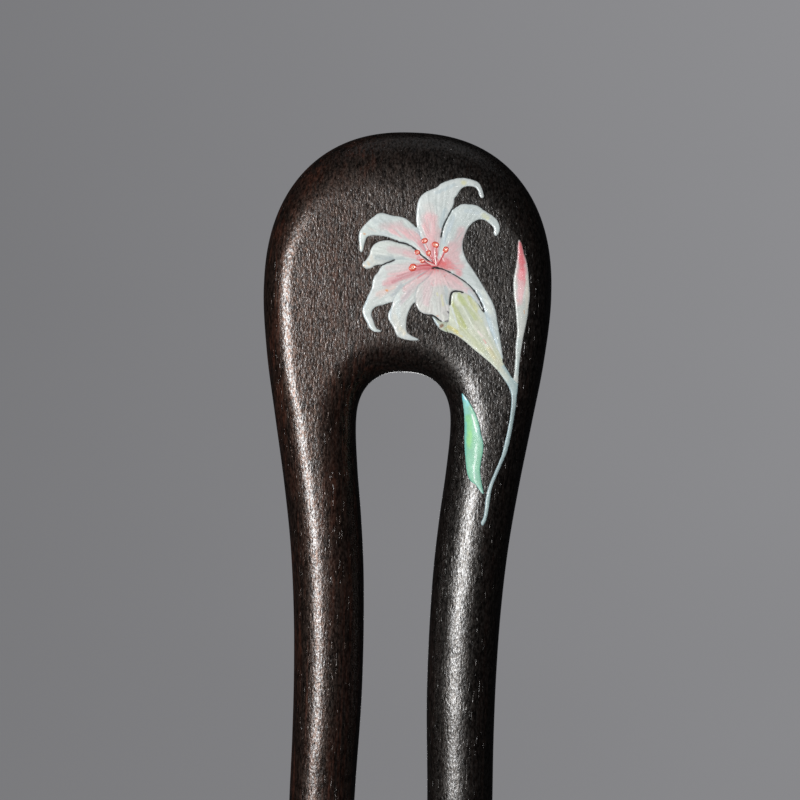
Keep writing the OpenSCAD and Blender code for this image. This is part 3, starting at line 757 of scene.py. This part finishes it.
            [8.6, -3.6, 9.2, -4.8, 0.3, (208, 214, 198), 0.8],
            # a painted highlight on the trumpet's right side
            [10.0, -7.2, 10.4, -8.2, 0.16, (238, 240, 234), 0.85],
            [8.9, -7.7, 9.4, -8.3, 0.18, (240, 228, 222), 0.8],
            [9.6, -8.7, 9.9, -9.1, 0.12, (232, 176, 168), 0.8],
            [10.5, -9.6, 10.7, -10.0, 0.14, (240, 226, 222), 0.8],
            [10.2, -9.8, 11.5, -11.5, 0.5, (206, 202, 166), 0.85],
            [11.3, -11.1, 12.0, -12.4, 0.4, (206, 208, 190), 0.9],
    ]},
    "stem": {
        "flow": (13.4, 40), "base": (166, 186, 186), "dome": 0.6,
        "seamShade": 0, "finish": {"gloss": 0.12, "roughness": 0.42},
        "rimTone": (150, 176, 186),
        "strokes": [
            [11.4, -12.0, 12.6, -13.5, 0.7, (206, 209, 192), 0.95],
            [12.6, -13.4, 13.4, -14.5, 0.4, (196, 208, 202), 0.8],
            [13.2, -14.2, 13.8, -15.6, 0.35, (176, 196, 198), 0.7],
            [13.5, -15.5, 13.6, -18.0, 0.18, (148, 162, 164), 0.7],
            [13.2, -19.5, 12.6, -22.5, 0.14, (182, 202, 204), 0.7],
            [12.4, -23.4, 11.2, -26.4, 0.16, (150, 168, 172), 0.6],
            [10.9, -27.6, 10.7, -30.6, 0.2, (170, 190, 186), 0.7],
    ]},
    "bud": {
        "flow": (14.2, 60), "base": (198, 202, 197), "dome": 0.8,
        "rimTone": (206, 210, 210), "rim": 0.8, "seamShade": 0, "finish": {"gloss": 0.16, "roughness": 0.4},
        "strokes": [
            [14.0, 2.4, 14.1, -1.4, 0.85, (226, 150, 156), 0.95],
            [13.9, 3.4, 14.0, 1.0, 0.6, (212, 116, 122), 0.95],
            [13.9, 1.6, 14.1, -0.2, 0.38, (217, 110, 118), 0.9],
            [14.0, -0.2, 14.0, -1.0, 0.45, (234, 154, 160), 0.8],
            [14.0, -1.6, 13.9, -4.0, 0.6, (222, 182, 184), 0.9],
            [14.75, -0.6, 14.8, -4.6, 0.3, (212, 207, 197), 0.8],
            [13.5, -2.6, 13.7, -4.4, 0.25, (206, 190, 190), 0.7],
            [14.2, -4.6, 14.2, -8.4, 0.6, (198, 202, 197), 0.8],
            [13.95, -8.6, 13.9, -12.8, 0.5, (180, 193, 191), 0.8],
            [14.5, -4.9, 14.55, -5.3, 0.1, (222, 168, 128), 0.7],
            [13.65, -3.6, 13.75, -3.9, 0.1, (232, 176, 160), 0.7],
            [14.2, -9.4, 14.3, -11.0, 0.12, (204, 214, 212), 0.7],
    ]},
    "leaf": {
        "flow": (8.6, 20), "base": (130, 192, 160), "dome": 1.1,
        "rimTone": (128, 200, 200), "rim": 0.8, "finish": {"roughness": 0.52, "gloss": 0.05, "mottle": 0.04},
        "strokes": [
            [7.0, -15.3, 7.7, -16.6, 0.8, (122, 206, 218), 0.95],
            [7.5, -16.6, 7.9, -18.2, 0.7, (140, 204, 190), 0.8],
            [8.1, -18.4, 8.4, -22.0, 0.6, (134, 204, 148), 0.9],
            [8.3, -20.2, 8.3, -21.8, 0.35, (148, 212, 140), 0.7],
            [9.3, -19.6, 9.9, -22.0, 0.4, (134, 188, 172), 0.8],
            [8.4, -23.2, 8.7, -25.2, 0.6, (136, 198, 168), 0.8],
            [9.1, -25.4, 10.1, -27.4, 0.5, (136, 188, 168), 0.8],
            # The near-white strokes from here through the one at 9.2, -22.9 are painted highlights along the
            # leaf's raised middle, standing in for its gloss.
            [8.5, -18.0, 9.1, -20.1, 0.11, (240, 248, 244), 0.95],
            [9.2, -21.7, 9.0, -23.3, 0.13, (246, 250, 248), 0.95],
            [8.8, -24.2, 9.1, -26.3, 0.09, (240, 248, 244), 0.9],
            [9.1, -26.3, 10.2, -27.9, 0.07, (236, 246, 240), 0.85],
            [7.35, -15.6, 7.75, -16.2, 0.1, (244, 250, 250), 0.85],
            [9.2, -22.9, 8.9, -25.0, 0.12, (232, 244, 238), 0.8],
            [7.75, -19.0, 7.85, -23.0, 0.16, (120, 198, 190), 0.6],
    ]},
}
cadLoops = {node: sorted(backLoops(node), key=len, reverse=True) for node in inlayLooks}
outlines = {}
for number, (node, look) in enumerate(inlayLooks.items()):
    look["name"] = node + "_shell"
    look["slot"] = "petal_shell" if node.startswith("petal_") else look["name"]
    if "flow" not in look:  # a petal that starts at the throat
        look["flow"] = petalFlow
        look["strokes"] = look["strokes"] + throatStrokes
    made = makeInlay(node, look, 3.7 * number + 1)
    print(node, len(made.data.polygons), "faces")


def fillPocket():  # triangles over the whole pocket, split along the outlines of the pieces
    pockets = [evenLoop(loop, 0.2) for loop in backLoops("inlay_bed")]
    points, edges, faces = [], [], []
    for number, loop in enumerate(pockets + list(outlines.values())):
        start = len(points)
        points += [Vector(p) for p in loop]
        edges += [(start + i, start + (i + 1) % len(loop)) for i in range(len(loop))]
        if number < len(pockets):
            faces.append(list(range(start, start + len(loop))))
    made = delaunay_2d_cdt(points, edges, faces, 1, 1e-5)
    places = np.array([tuple(v) for v in made[0]])
    triangles = [tuple(face) for face in made[2]]
    middles = np.array([places[list(face)].mean(0) for face in triangles])
    kept = np.any([insideOf(middles, loop) for loop in pockets], axis=0)
    covered = np.any([insideOf(middles, loop) for loop in outlines.values()], axis=0)
    return places, [t for t, k in zip(triangles, kept) if k], [bool(c) for c, k in zip(covered, kept) if k]


def blackResin():
    n = Nodes("line_resin")
    cloudy = n.noise((1.2, 1.2, 1.2), detail=3)
    dust = n.noise((8, 8, 8), detail=2, offset=4)
    colour = n.blend(n.remap(cloudy, 0.35, 0.65), (0.0035, 0.0032, 0.0040), (0.009, 0.008, 0.009))
    return n.finishWith(Base_Color=colour, Roughness=n.remap(dust, 0.3, 0.7, 0.28, 0.5),
                        Normal=n.bump(dust, 0.006), Specular_IOR_Level=0.3)


def makeBed(places, faces, covered):  # a film under the pieces and a rib between them
    f = inlayFit
    wood = woodAt(places)
    count = len(places)
    heights = (wood + f["sink"], wood + f["thickness"], wood + f["thickness"] + f["film"])
    verts = [(p[0], y, p[1] + throatZ) for level in heights for p, y in zip(places, level)]
    ribs = [face for face, under in zip(faces, covered) if not under]
    under = [face for face, c in zip(faces, covered) if c]
    solid = list(ribs)
    solid += [tuple(i + count for i in face) for face in under]
    solid += [tuple(i + 2 * count for i in face[::-1]) for face in faces]
    solid += [(b, a, a + count, b + count) for a, b in borderEdges(ribs)]
    solid += [(b + count, a + count, a + 2 * count, b + 2 * count) for a, b in borderEdges(faces)]
    bed = meshObject("black_resin_bed", verts, solid)
    bed.data.materials.append(blackResin())
    shadeSmooth(bed, 40)
    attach(bed, "root")
    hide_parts("inlay_bed")


def cutPocket(places, faces):
    floor = woodAt(places) + inlayFit["thickness"] + inlayFit["film"]
    cutter = slab("pocket_cutter", places, faces, np.full(len(places), -headThickness), floor)
    cut = forkBody.modifiers.new("pocket", "BOOLEAN")
    cut.operation = "DIFFERENCE"
    cut.solver = "EXACT"
    cut.object = cutter
    bpy.context.view_layer.objects.active = forkBody
    bpy.ops.object.modifier_apply(modifier=cut.name)
    bpy.data.objects.remove(cutter)
    shadeSmooth(forkBody)


pocketPlaces, pocketFaces, pocketCovered = fillPocket()
makeBed(pocketPlaces, pocketFaces, pocketCovered)
cutPocket(pocketPlaces, pocketFaces)
print("pocket cut:", len(forkBody.data.polygons), "faces in the fork")

# The stamens: a raised bead for each anther and a fine strand to each from the throat.
stamenShape = {
    "root": (3.5, 0.2), "height": 0.10, "rise": 0.17, "segments": 30, "rings": 12, "strandSteps": 14,
    "strandSides": 8, "rootWidth": 0.11, "tipWidth": 0.055, "strandHeight": 0.045,
    # the ridge colour is a painted highlight on each bead's raised ring; rim and middle are the anther's own
    # colours
    "rim": (206, 66, 58), "ridge": (232, 104, 84), "middle": (240, 178, 158),
    "strandTones": [(206, 88, 92), (238, 208, 206), (212, 96, 98), (226, 140, 142)],
}


def islands(node):  # middle and half width of each separate solid of a CAD node
    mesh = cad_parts[node].data
    keys = [tuple(round(c / mm, 3) for c in v.co) for v in mesh.vertices]
    group = {key: key for key in keys}

    def top(key):
        while group[key] != key:
            key = group[key]
        return key

    for face in mesh.polygons:
        first = top(keys[face.vertices[0]])
        for i in face.vertices:
            group[top(keys[i])] = first
    solids = {}
    for key in sorted(set(keys)):
        solids.setdefault(top(key), []).append(key)
    places = []
    for members in solids.values():
        low, high = np.min(members, axis=0), np.max(members, axis=0)
        middle = (low + high) / 2
        places.append((middle[0], middle[2] - throatZ, (high[0] - low[0]) / 2))
    return places


def makeBeads():
    s = stamenShape
    verts, faces, colours = [], [], []
    for number, (x, z, radius) in enumerate(islands("anther_dots")):
        base = surfaceY(x, z + throatZ) - s["rise"]
        start = len(verts)
        lean = noise.noise(Vector((x, z, 5))) * 0.8
        for i in range(s["rings"] + 1):
            share = i / s["rings"]
            ridge = math.exp(-((share - 0.68) / 0.2) ** 2)
            height = s["height"] * (0.42 + 0.58 * ridge) * math.sqrt(max(1 - share ** 6, 0))
            # painted highlight: the ridge tone, lighter than the red rim, stands in for light catching the
            # bead's raised ring; the pale middle and the red rim are the anther's own colours
            toRidge = smooth(share, 0.3, 0.62)
            tone = np.array(s["middle"]) * (1 - toRidge) + np.array(s["ridge"]) * toRidge
            tone = tone + (np.array(s["rim"]) - tone) * smooth(share, 0.72, 0.95)
            for k in range(s["segments"]):
                a = 2 * math.pi * k / s["segments"]
                ragged = noise.noise(Vector((math.cos(a) * 1.3 + number * 5, math.sin(a) * 1.3, share)))
                reach = radius * share * (1 + 0.12 * ragged + 0.07 * math.cos(2 * (a - lean * 3)))
                verts.append((x + reach * math.cos(a), base - height * (1 + 0.25 * ragged),
                              z + throatZ + reach * math.sin(a)))
                colours.append(tone + 22 * ragged)
        count = s["segments"]
        for i in range(s["rings"]):
            for k in range(count):
                a, b = start + i * count + k, start + i * count + (k + 1) % count
                faces.append((a, b, b + count, a + count) if i else (a, b + count, a + count))
        faces.append(tuple(start + s["rings"] * count + k for k in range(count - 1, -1, -1)))
    return verts, faces, colours


def makeStrands():
    s = stamenShape
    verts, faces, colours = [], [], []
    root = np.array(s["root"])
    sides = s["strandSides"]
    for number, (x, z, radius) in enumerate(islands("anther_dots")):
        tip = np.array((x, z))
        along = tip - root
        side = np.array((-along[1], along[0]))
        bow = 0.1 * noise.noise(Vector((x * 2, z * 2, 2))) + (0.05 if number % 2 else -0.05)
        tone = np.array(s["strandTones"][number % len(s["strandTones"])])
        start = len(verts)
        steps = s["strandSteps"]
        for i in range(steps + 1):
            t = i / steps
            here = root + along * t + side * bow * math.sin(math.pi * t)
            half = (s["rootWidth"] + (s["tipWidth"] - s["rootWidth"]) * t) * (0.35 if i in (0, steps) else 1)
            across = unit(side)
            base = surfaceY(here[0], here[1] + throatZ) - s["rise"]
            for k in range(sides):
                a = 2 * math.pi * k / sides
                reach = half * math.cos(a)
                verts.append((here[0] + across[0] * reach, base - s["strandHeight"] * math.sin(a),
                              here[1] + throatZ + across[1] * reach))
                colours.append(tone + 16 * noise.noise(Vector((here[0] * 6, here[1] * 6, 3))))
        for i in range(steps):
            for k in range(sides):
                a, b = start + i * sides + k, start + i * sides + (k + 1) % sides
                faces.append((a, b, b + sides, a + sides))
        faces.append(tuple(start + k for k in range(sides - 1, -1, -1)))
        faces.append(tuple(start + steps * sides + k for k in range(sides)))
    return verts, faces, colours


def makeStamens(name, built, node):
    verts, faces, colours = built
    piece = meshObject(name, verts, faces)
    paintVerts(piece, colours)
    piece.data.materials.append(dyedShell(name + "_finish", roughness=0.25, gloss=0.7, relief=0.004))
    shadeSmooth(piece, 60)
    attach(piece, "root")
    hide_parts(node)


makeStamens("anther_beads", makeBeads(), "anther_dots")
makeStamens("stamen_strands", makeStrands(), "filaments")
print("stamens laid")


# Camera, lights and the plain sweep.
studio = {
    "lens": 150, "imageSpan": 99.6, "spanAt": -2, "lookX": -0.5, "lookZ": 131.5, "roll": -1.88,
    "floorRadius": 0.5, "sweepRadius": 0.55, "wallHeight": 1.5, "curveSteps": 32, "turns": 96,
    "floorTone": (0.7, 0.7, 0.71), "wallBase": (0.03, 0.03, 0.03), "wallTone": (0.212, 0.212, 0.222),
    "wallGlowAcross": (0.84, 1.2), "glowAcrossReach": (-180, 180), "wallGlowUp": (0.95, 1.05), "glowUpReach": (-60, 340),
    "paleReach": (180, 380), "world": (0.013, 0.013, 0.014), "lampAim": 0.125,
    "lamps": {  # turn and rise in degrees, reach, width and height in metres, power, tone
        "key_strip": (-25, -0.8, 0.55, (0.14, 0.16), 4.2, (1, 1, 1)),
        "top_fill": (20, 78, 0.8, (0.7, 0.5), 0.4, (0.95, 0.97, 1)),
        "back_strip": (180, -8, 0.45, (0.05, 0.1), 0.07, (1, 1, 1)),
        "back_fill": (-150, 35, 0.7, (0.4, 0.4), 1.6, (1, 1, 1)),
    },
}


def makeCamera():
    s = studio
    camera = bpy.data.objects.new("camera", bpy.data.cameras.new("camera"))
    bpy.context.scene.collection.objects.link(camera)
    camera.data.lens = s["lens"]
    camera.data.sensor_width = 36
    reach = s["imageSpan"] * s["lens"] / camera.data.sensor_width
    camera.location = (s["lookX"] * mm, (s["spanAt"] - reach) * mm, s["lookZ"] * mm)
    camera.rotation_euler = (math.radians(90), math.radians(s["roll"]), 0)
    camera.data.clip_start = 0.01
    bpy.context.scene.camera = camera


def makeSweep():  # a pale floor that curves up all round into a grey wall with a soft light of its own
    s = studio
    profile = [(0.0, 0.0), (s["floorRadius"] / 2, 0.0), (s["floorRadius"], 0.0)]
    curve = s["sweepRadius"]
    for i in range(1, s["curveSteps"] + 1):
        a = math.radians(90 * i / s["curveSteps"])
        profile.append((s["floorRadius"] + curve * math.sin(a), curve * (1 - math.cos(a))))
    profile.append((s["floorRadius"] + curve, s["wallHeight"]))
    turns = s["turns"]
    verts = [(0, 0, 0)]
    faces = []
    for r, z in profile[1:]:
        for k in range(turns):
            a = 2 * math.pi * k / turns
            verts.append((r / mm * math.cos(a), r / mm * math.sin(a), z / mm))
    for k in range(turns):
        faces.append((0, 1 + k, 1 + (k + 1) % turns))
    for i in range(len(profile) - 2):
        for k in range(turns):
            a, b = 1 + i * turns + k, 1 + i * turns + (k + 1) % turns
            faces.append((a, a + turns, b + turns, b))
    sweep = meshObject("studio_sweep", verts, faces)
    shadeSmooth(sweep, 60)
    n = Nodes("studio_paper")
    away = n.add("ShaderNodeVectorMath", operation="LENGTH")
    n.link(n.space((1, 1, 0)), away.inputs[0])
    height = n.remap(away.outputs["Value"], *s["paleReach"])
    soft = n.noise((0.004, 0.004, 0.004), detail=2)
    wall = n.blend(n.remap(soft, 0.35, 0.65), s["wallTone"], tuple(v * 1.03 for v in s["wallTone"]))
    across = n.add("ShaderNodeSeparateXYZ")
    n.link(n.space((1, 1, 1)), across.inputs[0])
    # painted light falloff: the wall's own glow is made brighter towards +X and changes with height
    glowAcross = n.remap(across.outputs["X"], *s["glowAcrossReach"], smooth=False)
    lift = n.remap(across.outputs["Z"], *s["glowUpReach"])
    for share, (low, high) in ((glowAcross, s["wallGlowAcross"]), (lift, s["wallGlowUp"])):
        wall = n.blend(1.0, wall, n.blend(share, (low,) * 3, (high,) * 3), how="MULTIPLY")
    n.finishWith(Base_Color=n.blend(height, s["floorTone"], s["wallBase"]), Roughness=0.9,
                 Specular_IOR_Level=0.1, Emission_Color=wall, Emission_Strength=height)
    sweep.data.materials.append(n.material)
    sweep.visible_glossy = False
    sweep.visible_diffuse = False


def softbox(name, turn, rise, reach, size, power, tone):
    light = bpy.data.lights.new(name, "AREA")
    light.shape = "RECTANGLE"
    light.size, light.size_y = size
    light.energy = power
    light.color = tone
    lamp = bpy.data.objects.new(name, light)
    a, e = math.radians(turn), math.radians(rise)
    back = Vector((math.sin(a) * math.cos(e), -math.cos(a) * math.cos(e), math.sin(e)))
    lamp.location = back * reach + Vector((0, 0, studio["lampAim"]))
    lamp.rotation_mode = "QUATERNION"
    lamp.rotation_quaternion = back.to_track_quat("Z", "Y")
    lamp.visible_camera = False
    bpy.context.scene.collection.objects.link(lamp)


makeCamera()
makeSweep()
for name, values in studio["lamps"].items():
    softbox(name, *values)
bpy.data.objects["back_fill"].visible_glossy = False
world = bpy.data.worlds.new("studio")
bpy.context.scene.world = world
world.use_nodes = True
world.node_tree.nodes["Background"].inputs[0].default_value = (*studio["world"], 1)
bpy.context.scene.view_settings.view_transform = "Standard"
print("studio ready")
